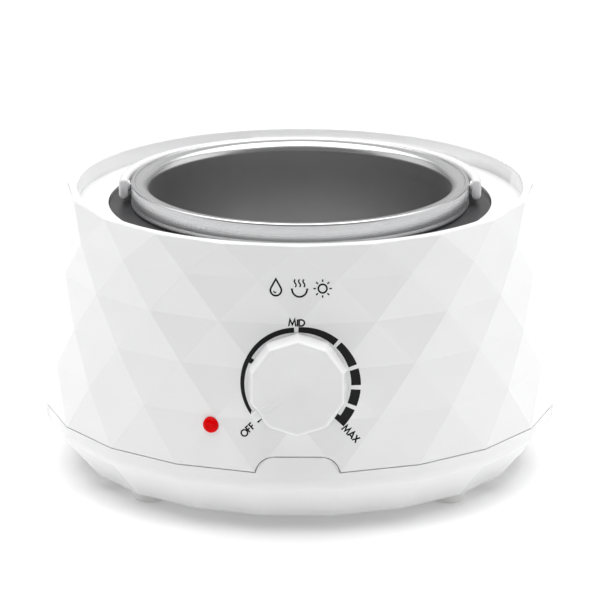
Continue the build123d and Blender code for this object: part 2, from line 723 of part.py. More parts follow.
plate_back = PAD_DEPTH + PLATE_T
with BuildPart() as thermostat_bracket:
    with BuildSketch(knob_plane.offset(-plate_back)):
        RectangleRounded(PLATE_W, PLATE_H, PLATE_CORNER)
    extrude(amount=PLATE_T)
    with BuildSketch(knob_plane.offset(-PAD_DEPTH)):
        Circle(BUSHING_R)
    extrude(amount=PAD_DEPTH + BUSHING_OUT)
    for side in (-1, 1):
        with BuildSketch(knob_plane.offset(-plate_back - BODY_DEPTH)):
            with Locations((side * (BODY_W / 2 + PLATE_T / 2 + CLOSE_FIT), 0)):
                Rectangle(PLATE_T, ARM_H)
        extrude(amount=BODY_DEPTH)
    with Locations(knob_plane.offset(BUSHING_OUT)):
        Hole(SHAFT_R + CLOSE_FIT, depth=plate_back + BUSHING_OUT)
    with Locations(knob_plane.offset(-PAD_DEPTH)):
        with Locations((-SCREW_SPAN, 0), (SCREW_SPAN, 0)):
            Hole(SCREW_R + CLOSE_FIT, depth=PLATE_T)
thermostat_bracket.part.label = "thermostat_bracket"
export_step(thermostat_bracket.part, "parts/thermostat_bracket.step")

with BuildPart() as thermostat_screws:
    with BuildSketch(knob_plane.offset(-plate_back - PLATE_T)):
        with Locations((-SCREW_SPAN, 0), (SCREW_SPAN, 0)):
            Circle(SCREW_R)
    extrude(amount=plate_back + PLATE_T - SCREW_DIP)
    with BuildSketch(knob_plane.offset(-SCREW_DIP)):
        with Locations((-SCREW_SPAN, 0), (SCREW_SPAN, 0)):
            Circle(PAN_HEAD_R)
    extrude(amount=PAN_HEAD)
    with BuildSketch(knob_plane.offset(-SCREW_DIP + PAN_RECESS)):
        with Locations((-SCREW_SPAN, 0), (SCREW_SPAN, 0)):
            Rectangle(RECESS_L, RECESS_W)
            Rectangle(RECESS_W, RECESS_L)
    extrude(amount=PAN_HEAD, mode=Mode.SUBTRACT)
thermostat_screws.part.label = "thermostat_screws"
export_step(thermostat_screws.part, "parts/thermostat_screws.step")

# Ceramic stack that carries the contacts; the shaft's inner end turns in it.
with BuildPart() as thermostat_body:
    with BuildSketch(knob_plane.offset(-plate_back - BODY_DEPTH)):
        RectangleRounded(BODY_W, BODY_H, STRIP_ROUND)
    extrude(amount=BODY_DEPTH - CLOSE_FIT)
    with Locations(knob_plane.offset(-plate_back)):
        Hole(SHAFT_R + EASY_FIT, depth=SHAFT_INSIDE + CLEAR_FIT - plate_back)
thermostat_body.part.label = "thermostat_body"
export_step(thermostat_body.part, "parts/thermostat_body.step")

# Bimetal strip under the stack and the two contact blades that stand out of its lower side.
with BuildPart() as bimetal_strip:
    with BuildSketch(knob_plane.offset(-plate_back - BODY_DEPTH)):
        with Locations((0, STRIP_UP)):
            RectangleRounded(STRIP_W, STRIP_L, STRIP_ROUND)
    extrude(amount=-SHEET_T)
bimetal_strip.part.label = "bimetal_strip"
export_step(bimetal_strip.part, "parts/bimetal_strip.step")

with BuildPart() as contact_blades:
    for depth in BLADE_DEPTHS:
        with BuildSketch(knob_plane.offset(-plate_back - depth)):
            with Locations((0, BLADE_LOW + BLADE_L / 2)):
                Rectangle(BLADE_W, BLADE_L)
        extrude(amount=BLADE_T)
contact_blades.part.label = "contact_blades"
export_step(contact_blades.part, "parts/contact_blades.step")

# ---------------------------------------------------------------- indicator lamp
with BuildPart() as indicator_lens:
    with BuildSketch(lamp_plane.offset(-LENS_SINK)):
        Circle(LENS_R)
    extrude(amount=LENS_SINK + LENS_DOME)
    fillet(indicator_lens.edges().sort_by(lamp_axis)[-1], LENS_DOME)
    with BuildSketch(lamp_plane.offset(-LENS_STEM)):
        Circle(LENS_STEM_R)
    extrude(amount=LENS_STEM - LENS_SINK)
    with BuildSketch(lamp_plane.offset(-LENS_STEM)):
        Circle(LENS_BORE_R)
    extrude(amount=LENS_STEM - CLEAR_FIT, mode=Mode.SUBTRACT)
indicator_lens.part.label = "indicator_lens"
export_step(indicator_lens.part, "parts/indicator_lens.step")

with BuildPart() as lens_retainer:
    with BuildSketch(lamp_plane.offset(-RETAINER_AT)):
        Circle(RETAINER_R)
        Circle(LENS_STEM_R + CLOSE_FIT, mode=Mode.SUBTRACT)
    extrude(amount=RETAINER_T)
lens_retainer.part.label = "lens_retainer"
export_step(lens_retainer.part, "parts/lens_retainer.step")

with BuildPart() as neon_lamp:
    with BuildSketch(lamp_plane.offset(-NEON_AT)):
        Circle(LENS_BORE_R - EASY_FIT)
    extrude(amount=NEON_L)
    fillet(neon_lamp.edges().filter_by(GeomType.CIRCLE), NEON_ROUND)
neon_lamp.part.label = "neon_lamp"
export_step(neon_lamp.part, "parts/neon_lamp.step")

# ---------------------------------------------------------------- power inlet
with BuildPart() as power_inlet:
    with BuildSketch(inlet_plane.offset(-INLET_FLANGE_T)):
        RectangleRounded(*INLET_FLANGE, INLET_CORNER)
    extrude(amount=INLET_FLANGE_T)
    chamfer(power_inlet.faces().sort_by(Axis.Y)[-1].edges(), KNOB_BEVEL)
    with BuildSketch(inlet_plane.offset(-INLET_FLANGE_T)):
        RectangleRounded(*INLET_SHANK, INLET_CORNER - 1)
    extrude(amount=-INLET_BODY + INLET_FLANGE_T)
    with BuildSketch(inlet_plane):
        with Locations((-INLET_PITCH / 2, 0), (INLET_PITCH / 2, 0)):
            Circle(INLET_LOBE_R)
        Rectangle(INLET_PITCH, INLET_WAIST)
    extrude(amount=-INLET_DEEP, mode=Mode.SUBTRACT)
    with Locations(inlet_plane):
        with Locations((-INLET_PITCH / 2, 0), (INLET_PITCH / 2, 0)):
            Hole(INLET_PIN_R + INLET_PIN_FIT, depth=INLET_BODY)
power_inlet.part.label = "power_inlet"
export_step(power_inlet.part, "parts/power_inlet.step")

with BuildPart() as inlet_pins:
    with BuildSketch(inlet_plane.offset(-INLET_TAIL)):
        with Locations((-INLET_PITCH / 2, 0), (INLET_PITCH / 2, 0)):
            Circle(INLET_PIN_R)
    extrude(amount=INLET_TAIL - INLET_PIN_DIP)
    fillet(inlet_pins.edges().group_by(Axis.Y)[-1], INLET_PIN_ROUND)
inlet_pins.part.label = "inlet_pins"
export_step(inlet_pins.part, "parts/inlet_pins.step")

# ---------------------------------------------------------------- thermal fuse and wiring
fuse_z = floor_under - FUSE_R - SHEET_T
fuse_line = Plane((-FUSE_L / 2, AXIS_Y + FUSE_Y, fuse_z), x_dir=(0, 1, 0), z_dir=(1, 0, 0))
with BuildPart() as thermal_fuse:
    with BuildSketch(fuse_line):
        Circle(FUSE_R)
    extrude(amount=FUSE_L)
    with BuildSketch(fuse_line.offset(-FUSE_LEAD)):
        Circle(FUSE_LEAD_R)
    extrude(amount=FUSE_L + 2 * FUSE_LEAD)
thermal_fuse.part.label = "thermal_fuse"
export_step(thermal_fuse.part, "parts/thermal_fuse.step")

with BuildPart() as fuse_clip:
    with BuildSketch(fuse_line.offset((FUSE_L - CLIP_W) / 2)):
        clip_r = FUSE_R + SHEET_T
        Circle(clip_r)
        with Locations((0, clip_r / 2)):
            Rectangle(2 * clip_r, clip_r)
        with Locations((-CLIP_FOOT_AT, FUSE_R + SHEET_T / 2)):
            Rectangle(CLIP_FOOT, SHEET_T)
        Circle(FUSE_R + CLOSE_FIT, mode=Mode.SUBTRACT)
    extrude(amount=CLIP_W)
fuse_clip.part.label = "fuse_clip"
export_step(fuse_clip.part, "parts/fuse_clip.step")


def run_of_wire(name, *points):
    """One insulated wire along straight runs joined by bends."""
    with BuildPart() as wire:
        with BuildLine() as route:
            FilletPolyline(*points, radius=WIRE_BEND)
        with BuildSketch(Plane(route.line @ 0, z_dir=route.line % 0)):
            Circle(WIRE_R)
        sweep()
    wire.part.label = name
    export_step(wire.part, f"parts/{name}.step")


inlet_y = AXIS_Y + BELT_R * FLAT - INLET_TAIL
inlet_x = INLET_PITCH / 2
fuse_y = AXIS_Y + FUSE_Y
fuse_x = FUSE_L / 2 + FUSE_LEAD


def blade_end(depth):
    """Point just below the lower end of a contact blade."""
    return (knob_plane.offset(BLADE_T / 2 - plate_back - depth) * Pos(0, BLADE_LOW - CLEAR_FIT, 0)).position


near_blade, far_blade = [blade_end(depth) for depth in BLADE_DEPTHS]
tab_x, tab_y = around(tab_angles["right"], heater_r + HEATER_T / 2)
tab_y += AXIS_Y
tab_z = HEATER_Z - TAB_H
wire_z = (floor_under + floor_z) / 2
back_z = INLET_Z - 3

# Live pin to the fuse, the fuse to the thermostat, the thermostat to the heater, and back.
run_of_wire(
    "live_wire",
    (-inlet_x, inlet_y, INLET_Z), (-inlet_x, inlet_y - 14, INLET_Z), (-2 * fuse_x, fuse_y + 12, wire_z + 6),
    (-2 * fuse_x, fuse_y, fuse_z), (-fuse_x, fuse_y, fuse_z),
)
run_of_wire(
    "fuse_wire",
    (fuse_x, fuse_y, fuse_z), (2 * fuse_x, fuse_y, fuse_z), (2 * fuse_x, 0, wire_z),
    (fuse_x, -50, wire_z), (far_blade.X, far_blade.Y, wire_z), (far_blade.X, far_blade.Y, far_blade.Z),
)
run_of_wire(
    "heater_wire",
    (near_blade.X, near_blade.Y, near_blade.Z), (near_blade.X, near_blade.Y, wire_z + 1),
    (-16, -68, wire_z), (-46, -20, wire_z), (-46, 40, wire_z),
    (-tab_x, tab_y, wire_z + 4), (-tab_x, tab_y, tab_z),
)
run_of_wire(
    "neutral_wire",
    (inlet_x, inlet_y, INLET_Z), (inlet_x, inlet_y - 10, INLET_Z), (tab_x - 8, tab_y + 10, back_z),
    (tab_x, tab_y, back_z), (tab_x, tab_y, tab_z),
)
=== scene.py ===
"""Looks of the wax warmer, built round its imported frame.  Metres, +Z up, front towards -Y."""
import json
from math import acos, atan2, cos, degrees, hypot, pi, radians, sin, tan

import bmesh
import bpy
from mathutils import Matrix, Vector
from mathutils.bvhtree import BVHTree


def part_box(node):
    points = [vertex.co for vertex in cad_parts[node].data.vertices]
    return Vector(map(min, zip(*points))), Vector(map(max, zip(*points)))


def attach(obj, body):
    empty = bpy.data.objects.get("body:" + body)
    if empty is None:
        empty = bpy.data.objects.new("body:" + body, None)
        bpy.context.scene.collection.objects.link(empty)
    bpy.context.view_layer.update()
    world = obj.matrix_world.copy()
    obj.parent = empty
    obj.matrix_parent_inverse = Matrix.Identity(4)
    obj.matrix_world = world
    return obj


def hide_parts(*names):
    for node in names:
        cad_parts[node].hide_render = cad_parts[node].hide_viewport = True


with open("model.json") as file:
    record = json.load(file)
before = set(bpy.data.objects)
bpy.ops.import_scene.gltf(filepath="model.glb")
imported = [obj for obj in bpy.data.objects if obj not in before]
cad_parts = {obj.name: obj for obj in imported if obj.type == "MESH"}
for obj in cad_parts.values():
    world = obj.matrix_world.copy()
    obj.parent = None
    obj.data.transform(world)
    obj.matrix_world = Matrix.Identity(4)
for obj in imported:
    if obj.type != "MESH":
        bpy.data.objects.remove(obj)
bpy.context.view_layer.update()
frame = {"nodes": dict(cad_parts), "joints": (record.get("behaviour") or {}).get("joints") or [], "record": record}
MM = 0.001

# ---------------------------------------------------------------- places taken from the frame
pot_low, pot_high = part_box("wax_pot")
AXIS = Vector(((pot_low.x + pot_high.x) / 2, (pot_low.y + pot_high.y) / 2, 0))
joints = {joint["name"]: joint for joint in frame["joints"]}
PIVOT = Vector(joints["handle_swing"]["pos_m"])
KNOB_AT = Vector(joints["knob_turn"]["pos_m"])
KNOB_OUT = -Vector(joints["knob_turn"]["axis"]).normalized()

# ---------------------------------------------------------------- which edges of the body are rounded
BELT_Z = 0.0188
BELT_LEVEL = 0.0001
BELT_LEAST_R = 0.0925
FACET_LEAST_R = 0.0795
FACET_LEAST_LENGTH = 0.004
FACET_LEAST_BEND = radians(1.0)


def plane_matrix(origin, out, up=Vector((0, 0, 1))):
    """Frame whose local Z looks along out and whose local Y is as near to up as it can be."""
    z = out.normalized()
    x = up.cross(z).normalized()
    y = z.cross(x)
    turned = Matrix((x, y, z)).transposed().to_4x4()
    return Matrix.Translation(origin) @ turned


# ---------------------------------------------------------------- materials
def new_material(name):
    material = bpy.data.materials.new(name)
    material.use_nodes = True
    nodes = material.node_tree.nodes
    links = material.node_tree.links
    return material, nodes, links, nodes["Principled BSDF"]


def noise(nodes, links, scale, detail=3.0, stretch=(1, 1, 1), rough=0.55):
    """Noise in object space, stretched along the axes."""
    place = nodes.new("ShaderNodeTexCoord")
    mapping = nodes.new("ShaderNodeMapping")
    mapping.inputs["Scale"].default_value = stretch
    texture = nodes.new("ShaderNodeTexNoise")
    texture.inputs["Scale"].default_value = scale
    texture.inputs["Detail"].default_value = detail
    texture.inputs["Roughness"].default_value = rough
    links.new(place.outputs["Object"], mapping.inputs["Vector"])
    links.new(mapping.outputs["Vector"], texture.inputs["Vector"])
    return texture.outputs["Fac"]


def ranged(nodes, links, source, low, high, start=0.3, end=0.7):
    """A number that runs from low to high as the source runs from start to end."""
    remap = nodes.new("ShaderNodeMapRange")
    remap.inputs["From Min"].default_value = start
    remap.inputs["From Max"].default_value = end
    remap.inputs["To Min"].default_value = low
    remap.inputs["To Max"].default_value = high
    links.new(source, remap.inputs["Value"])
    return remap.outputs["Result"]


def tinted(nodes, links, source, dark, light, start=0.3, end=0.7):
    """A colour that runs from dark to light with the source."""
    ramp = nodes.new("ShaderNodeValToRGB")
    ramp.color_ramp.elements[0].position = start
    ramp.color_ramp.elements[1].position = end
    ramp.color_ramp.elements[0].color = (*dark, 1)
    ramp.color_ramp.elements[1].color = (*light, 1)
    links.new(source, ramp.inputs["Fac"])
    return ramp.outputs["Color"]


def bumped(nodes, links, shader, source, depth):
    """Bump of a real depth in metres."""
    bump = nodes.new("ShaderNodeBump")
    bump.inputs["Strength"].default_value = 1.0
    bump.inputs["Distance"].default_value = depth
    links.new(source, bump.inputs["Height"])
    links.new(bump.outputs["Normal"], shader.inputs["Normal"])


def moulded(name, dark, light, rough, grain, depth, coat=0.0):
    """Moulded plastic or rubber: slight mottling, uneven gloss and a fine skin."""
    material, nodes, links, shader = new_material(name)
    mottle = noise(nodes, links, 55.0)
    links.new(tinted(nodes, links, mottle, dark, light), shader.inputs["Base Color"])
    gloss = ranged(nodes, links, noise(nodes, links, 140.0), rough[0], rough[1], start=0.0, end=1.0)
    links.new(gloss, shader.inputs["Roughness"])
    bumped(nodes, links, shader, noise(nodes, links, grain, detail=4.0), depth)
    shader.inputs["IOR"].default_value = 1.49
    shader.inputs["Coat Weight"].default_value = coat
    shader.inputs["Coat Roughness"].default_value = 0.08
    return material


def metal(name, dark, light, rough, grain, depth, stretch=(1, 1, 1), aniso=0.0):
    """Metal with fine marks drawn out along one way."""
    material, nodes, links, shader = new_material(name)
    shader.inputs["Metallic"].default_value = 1.0
    shader.inputs["Anisotropic"].default_value = aniso
    cloud = noise(nodes, links, 18.0, detail=2.0)
    links.new(tinted(nodes, links, cloud, dark, light), shader.inputs["Base Color"])
    marks = noise(nodes, links, grain, detail=5.0, stretch=stretch)
    links.new(ranged(nodes, links, marks, rough[0], rough[1]), shader.inputs["Roughness"])
    bumped(nodes, links, shader, marks, depth)
    return material


WHITE = moulded(
    "white_plastic", (0.868, 0.868, 0.873), (0.876, 0.876, 0.881), (0.17, 0.2), 900.0, 0.000003, coat=0.25
)
KNOB_WHITE = moulded(
    "knob_plastic", (0.862, 0.862, 0.867), (0.87, 0.87, 0.875), (0.27, 0.3), 1400.0, 0.000003
)
BAIL_WHITE = moulded(
    "handle_plastic", (0.85, 0.85, 0.86), (0.862, 0.862, 0.868), (0.22, 0.26), 1100.0, 0.000004
)
FOOT_WHITE = moulded("foot_rubber", (0.8, 0.8, 0.79), (0.84, 0.84, 0.83), (0.55, 0.7), 2600.0, 0.00001)
DARK_RING = moulded("dark_plastic", (0.018, 0.018, 0.02), (0.028, 0.028, 0.03), (0.34, 0.44), 3000.0, 0.00001)
BLACK = moulded("black_plastic", (0.012, 0.012, 0.013), (0.022, 0.022, 0.023), (0.38, 0.5), 3200.0, 0.00001)
CERAMIC = moulded("ceramic", (0.62, 0.58, 0.5), (0.72, 0.68, 0.6), (0.55, 0.7), 2400.0, 0.00001)
MICA = moulded("mica", (0.3, 0.25, 0.17), (0.42, 0.36, 0.26), (0.35, 0.5), 500.0, 0.00003)
WIRE = moulded("wire_insulation", (0.5, 0.49, 0.45), (0.6, 0.59, 0.55), (0.4, 0.55), 2000.0, 0.00001)
INK = moulded("dial_ink", (0.006, 0.006, 0.0065), (0.009, 0.009, 0.0095), (0.6, 0.7), 2600.0, 0.000002)
INK.node_tree.nodes["Principled BSDF"].inputs["Specular IOR Level"].default_value = 0.25
STEEL = metal("plated_steel", (0.5, 0.5, 0.48), (0.62, 0.62, 0.6), (0.22, 0.36), 900.0, 0.000004)
BRASS = metal("brass", (0.66, 0.47, 0.2), (0.76, 0.58, 0.28), (0.2, 0.32), 900.0, 0.000003)
WELL = metal("well_aluminium", (0.42, 0.42, 0.43), (0.52, 0.52, 0.53), (0.35, 0.5), 300.0, 0.00001)


def spun(name, colour, rough, depth, aniso):
    """Spun aluminium: fine rings round the axis, with satin highlights drawn out across them."""
    material, nodes, links, shader = new_material(name)
    shader.inputs["Metallic"].default_value = 1.0
    shader.inputs["Anisotropic"].default_value = aniso
    place = nodes.new("ShaderNodeTexCoord")
    centred = nodes.new("ShaderNodeVectorMath")
    centred.operation = "SUBTRACT"
    centred.inputs[1].default_value = AXIS
    links.new(place.outputs["Object"], centred.inputs[0])
    parts = nodes.new("ShaderNodeSeparateXYZ")
    links.new(centred.outputs["Vector"], parts.inputs["Vector"])
    flat = nodes.new("ShaderNodeCombineXYZ")
    links.new(parts.outputs["X"], flat.inputs["X"])
    links.new(parts.outputs["Y"], flat.inputs["Y"])
    radius = nodes.new("ShaderNodeVectorMath")
    radius.operation = "LENGTH"
    links.new(flat.outputs["Vector"], radius.inputs[0])
    rings_at = nodes.new("ShaderNodeCombineXYZ")
    links.new(radius.outputs["Value"], rings_at.inputs["X"])
    links.new(parts.outputs["Z"], rings_at.inputs["Y"])
    rings = nodes.new("ShaderNodeTexNoise")
    rings.inputs["Scale"].default_value = 2600.0
    rings.inputs["Detail"].default_value = 3.0
    links.new(rings_at.outputs["Vector"], rings.inputs["Vector"])
    cloud = noise(nodes, links, 26.0, detail=2.0)
    links.new(tinted(nodes, links, cloud, colour[0], colour[1]), shader.inputs["Base Color"])
    links.new(ranged(nodes, links, rings.outputs["Fac"], rough[0], rough[1]), shader.inputs["Roughness"])
    bumped(nodes, links, shader, rings.outputs["Fac"], depth)
    tangent = nodes.new("ShaderNodeTangent")
    tangent.direction_type = "RADIAL"
    tangent.axis = "Z"
    links.new(tangent.outputs["Tangent"], shader.inputs["Tangent"])
    return material


POT_METAL = spun("pot_aluminium", ((0.62, 0.62, 0.625), (0.68, 0.68, 0.685)), (0.24, 0.34), 0.000002, 0.45)
# The pot's inside is the same spun aluminium, rougher and more drawn out, with a darker colour that is painted
# shade.
POT_INSIDE_PAINTED_SHADE = spun("pot_inside_painted_shade", ((0.51, 0.506, 0.51), (0.57, 0.566, 0.57)), (0.34, 0.42), 0.000002, 0.65)


def lens_red():
    """Glossy red plastic with a faint glow of its own, as if lit from behind."""
    material, nodes, links, shader = new_material("red_lens")
    glow = noise(nodes, links, 420.0, detail=1.0)
    links.new(tinted(nodes, links, glow, (0.5, 0.0, 0.0), (0.62, 0.001, 0.002)), shader.inputs["Base Color"])
    links.new(ranged(nodes, links, glow, 0.1, 0.18), shader.inputs["Roughness"])
    shader.inputs["Emission Color"].default_value = (1.0, 0.0, 0.0, 1)
    shader.inputs["Emission Strength"].default_value = 0.15
    shader.inputs["Specular IOR Level"].default_value = 0.06
    return material


def lamp_glass():
    """Small neon bulb."""
    material, nodes, links, shader = new_material("lamp_glass")
    fog = noise(nodes, links, 300.0)
    links.new(tinted(nodes, links, fog, (0.9, 0.6, 0.45), (0.98, 0.72, 0.55)), shader.inputs["Base Color"])
    links.new(ranged(nodes, links, fog, 0.03, 0.1), shader.inputs["Roughness"])
    shader.inputs["Transmission Weight"].default_value = 0.7
    shader.inputs["IOR"].default_value = 1.5
    return material


RED = lens_red()
BULB = lamp_glass()
BY_SLOT = {
    "white_plastic": WHITE, "knob_plastic": KNOB_WHITE, "handle_plastic": BAIL_WHITE,
    "foot_rubber": FOOT_WHITE, "dark_plastic": DARK_RING, "pot_aluminium": POT_METAL,
    "well_aluminium": WELL, "plated_steel": STEEL, "brass": BRASS, "red_lens": RED,
    "lamp_glass": BULB, "black_plastic": BLACK, "ceramic": CERAMIC, "mica": MICA, "wire_insulation": WIRE,
}


# ---------------------------------------------------------------- mesh helpers
def mesh_object(name, points, faces, material, sharp=32.0):
    """New object from points in metres and faces, smooth except at edges sharper than an angle."""
    mesh = bpy.data.meshes.new(name)
    mesh.from_pydata([tuple(p) for p in points], [], faces)
    mesh.validate()
    tidy = bmesh.new()
    tidy.from_mesh(mesh)
    bmesh.ops.remove_doubles(tidy, verts=tidy.verts, dist=1e-7)
    bmesh.ops.recalc_face_normals(tidy, faces=tidy.faces)
    tidy.to_mesh(mesh)
    tidy.free()
    mesh.shade_smooth()
    mesh.set_sharp_from_angle(angle=radians(sharp))
    mesh.materials.append(material)
    made = bpy.data.objects.new(name, mesh)
    bpy.context.scene.collection.objects.link(made)
    return made


def rounded(corners, steps=7):
    """Outline through (x, y, radius) corners in millimetres, with an arc at each one that has a radius."""
    outline = []
    for before, here, after in zip(corners[-1:] + corners[:-1], corners, corners[1:] + corners[:1]):
        at = Vector(here[:2])
        if not here[2]:
            outline.append(at)
            continue
        back = (Vector(before[:2]) - at).normalized()
        on = (Vector(after[:2]) - at).normalized()
        half = acos(max(-1.0, min(1.0, back.dot(on)))) / 2
        reach = here[2] / tan(half)
        middle = at + (back + on).normalized() * here[2] / sin(half)
        start = at + back * reach - middle
        turn = start.angle_signed(at + on * reach - middle)
        for step in range(steps + 1):
            angle = -turn * step / steps
            spun_by = Matrix.Rotation(angle, 2)
            outline.append(middle + spun_by @ start)
    return outline


def lathe(name, outline, centre, material, turns=256, inside=None, split=None):
    """Turns a closed outline of (radius, height) in millimetres round a vertical axis."""
    points, faces, inner = [], [], []
    count = len(outline)
    for k in range(turns):
        angle = 2 * pi * k / turns
        for r, z in outline:
            points.append((centre.x + r * MM * sin(angle), centre.y - r * MM * cos(angle), z * MM))
    for k in range(turns):
        for i in range(count):
            j = (i + 1) % count
            a, b = k * count, (k + 1) % turns * count
            if outline[i][0] < 1e-6 and outline[j][0] < 1e-6:
                continue
            faces.append((a + i, a + j, b + j, b + i))
    made = mesh_object(name, points, faces, material)
    if inside:
        made.data.materials.append(inside)
        for face in made.data.polygons:
            middle = sum((made.data.vertices[v].co for v in face.vertices), Vector()) / len(face.vertices)
            if split(hypot(middle.x - centre.x, middle.y - centre.y), middle.z):
                face.material_index = 1
    return made


def softened(node, name, slot, rounds):
    """Copy of a CAD node's mesh that stands in for it, its edges rounded over: (offset, segments, which)."""
    mesh = frame["nodes"][node].data.copy()
    mesh.name = name
    body = bmesh.new()
    body.from_mesh(mesh)
    bmesh.ops.remove_doubles(body, verts=body.verts, dist=1e-6)
    bmesh.ops.dissolve_limit(body, angle_limit=radians(0.5), verts=body.verts, edges=body.edges)
    for offset, segments, chosen in rounds:
        edges = [e for e in body.edges if len(e.link_faces) == 2 and chosen(e)]
        bmesh.ops.bevel(
            body, geom=edges, offset=offset * MM, offset_type="OFFSET", segments=segments, profile=0.5,
            affect="EDGES", clamp_overlap=True,
        )
    bmesh.ops.remove_doubles(body, verts=body.verts, dist=1e-6)
    bmesh.ops.recalc_face_normals(body, faces=body.faces)
    body.to_mesh(mesh)
    body.free()
    mesh.materials.clear()
    mesh.materials.append(BY_SLOT[slot])
    mesh.shade_smooth()
    mesh.set_sharp_from_angle(angle=radians(40))
    made = bpy.data.objects.new(name, mesh)
    bpy.context.scene.collection.objects.link(made)
    weighted = made.modifiers.new("weighted", "WEIGHTED_NORMAL")
    weighted.keep_sharp = True
    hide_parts(node)
    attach(made, "housing")
    return made


def facet_edge(edge):
    """Long outside edge between two facets of the body."""
    middle = (edge.verts[0].co + edge.verts[1].co) / 2 - AXIS
    bend = abs(edge.calc_face_angle(0.0))
    out = sum((face.normal for face in edge.link_faces), Vector())
    looks_out = out.x * middle.x + out.y * middle.y > 0
    outside = hypot(middle.x, middle.y) > FACET_LEAST_R
    return edge.calc_length() > FACET_LEAST_LENGTH and bend > FACET_LEAST_BEND and looks_out and outside


def belt_edge(edge):
    """Edge of the base's widest belt."""
    level = all(abs(vert.co.z - BELT_Z) < BELT_LEVEL for vert in edge.verts)
    return level and hypot(edge.verts[0].co.x - AXIS.x, edge.verts[0].co.y - AXIS.y) > BELT_LEAST_R


# ---------------------------------------------------------------- materials of the CAD nodes
slots = {part["node"]: part["material_slot"] for part in frame["record"]["subparts"]}
for node, piece in frame["nodes"].items():
    piece.data.materials.clear()
    piece.data.materials.append(BY_SLOT[slots[node]])

# ---------------------------------------------------------------- faceted body
shell = softened("outer_shell", "shell_body", "white_plastic", [(0.35, 3, facet_edge)])
softened("base_shell", "base_body", "white_plastic", [(2.4, 6, belt_edge), (0.4, 2, facet_edge)])

# ---------------------------------------------------------------- pot
FLOOR_MM = pot_low.z / MM
RIM_MM = pot_high.z / MM
pot_outline = rounded([
    (0, FLOOR_MM, 0), (56.5, FLOOR_MM, 8.0), (56.5, RIM_MM - 1.3, 1.1), (60.95, RIM_MM - 1.3, 0.5),
    (60.95, RIM_MM - 8.1, 0), (60.8, RIM_MM - 8.5, 0.15), (61.5, RIM_MM - 8.5, 0.3),
    (61.8, RIM_MM - 7.8, 0.25),
    (61.62, RIM_MM - 6.6, 0.6), (61.7, RIM_MM - 1.1, 0.5), (61.8, RIM_MM, 0.9), (60.3, RIM_MM, 0.6),
    (60.15, RIM_MM - 0.42, 0.12), (59.6, RIM_MM - 0.28, 0.3), (55.2, RIM_MM - 0.7, 3.4),
    (55.2, RIM_MM - 30, 0), (55.2, FLOOR_MM + 1.2, 6.8), (40.0, FLOOR_MM + 1.2, 0.6),
    (39.4, FLOOR_MM + 1.45, 0.6), (37.5, FLOOR_MM + 1.45, 0.6), (36.9, FLOOR_MM + 1.2, 0.6),
    (0, FLOOR_MM + 1.2, 0),
], steps=8)


def inside_pot(radius, height):
    """Whether a spot of the pot is on its inner wall or floor, where the darker aluminium with painted shade goes.
    """
    return radius < 0.05532 and height > (FLOOR_MM + 1.0) * MM


# The inner wall and floor take the darker aluminium, whose colour is painted shade.
pot = lathe("wax_pot_spun", pot_outline, AXIS, POT_METAL, inside=POT_INSIDE_PAINTED_SHADE, split=inside_pot)
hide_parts("wax_pot")
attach(pot, "pot")

# ---------------------------------------------------------------- bail
BAIL_R, BAIL_T, BAIL_H, BAIL_DROP, BAIL_TAIL, BAIL_DROOP = 64.4, 3.5, 7.6, 0.8, 3.2, 1.0
BOSS_SIDES = 32


def capsule(width, height, steps=10):
    """Outline of a pill shape, taller than it is wide."""
    r = width / 2
    straight = height / 2 - r
    top = [(r * cos(pi * k / steps), straight + r * sin(pi * k / steps)) for k in range(steps + 1)]
    return top + [(-x, -y) for x, y in top]


def bail_mesh():
    """The strap swept along its arch, with rounded ends, and the two bosses that take the rivets."""
    turned = Matrix.Rotation(radians(-BAIL_DROOP), 4, "X")
    place = Matrix.Translation(PIVOT) @ turned @ Matrix.Translation((0, 0, -BAIL_DROP * MM))
    path = [(-BAIL_R, -BAIL_TAIL + d) for d in (0, 0.15, 0.5, 1.2, 2.2)]
    path += [(-BAIL_R * cos(pi * k / 180), BAIL_R * sin(pi * k / 180)) for k in range(181)]
    path += [(BAIL_R, -BAIL_TAIL + d) for d in (2.2, 1.2, 0.5, 0.15, 0)]
    shrink = {0: 0.7, 1: 0.45, 2: 0.12}
    points, faces = [], []
    ring = len(capsule(BAIL_T, BAIL_H))
    for k, (x, y) in enumerate(path):
        before, after = Vector(path[max(k - 1, 0)]), Vector(path[min(k + 1, len(path) - 1)])
        along = (after - before).normalized()
        across = Vector((along.y, -along.x))
        less = shrink.get(min(k, len(path) - 1 - k), 0.0)
        for s, t in capsule(BAIL_T - 2 * less, BAIL_H - 2 * less):
            points.append(place @ Vector(((x + across.x * s) * MM, (y + across.y * s) * MM, t * MM)))
    for k in range(len(path) - 1):
        for i in range(ring):
            j = (i + 1) % ring
            faces.append((k * ring + i, k * ring + j, (k + 1) * ring + j, (k + 1) * ring + i))
    faces.append(tuple(range(ring - 1, -1, -1)))
    faces.append(tuple(range((len(path) - 1) * ring, len(path) * ring)))
    for side in (-1, 1):
        start = len(points)
        profile = [(62.05, 0.9), (62.05, 1.5), (62.25, 1.7), (63.2, 1.9), (BAIL_R, 2.1)]
        for x, r in profile:
            for i in range(BOSS_SIDES):
                a = 2 * pi * i / BOSS_SIDES
                points.append(PIVOT + Vector((side * x, r * cos(a), r * sin(a))) * MM)
        for k in range(len(profile) - 1):
            for i in range(BOSS_SIDES):
                j = (i + 1) % BOSS_SIDES
                low, high = start + k * BOSS_SIDES, start + (k + 1) * BOSS_SIDES
                faces.append((low + i, low + j, high + j, high + i))
        faces.append(tuple(start + i for i in range(BOSS_SIDES)))
        faces.append(tuple(start + (len(profile) - 1) * BOSS_SIDES + i for i in range(BOSS_SIDES)))
    return mesh_object("bail_strap", points, faces, BAIL_WHITE)


bail = bail_mesh()
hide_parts("pot_handle")
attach(bail, "bail")

# ---------------------------------------------------------------- knob
KNOB = plane_matrix(KNOB_AT, KNOB_OUT)
KNOB_SIDES = 10
POINTER_ANGLE = 214.5


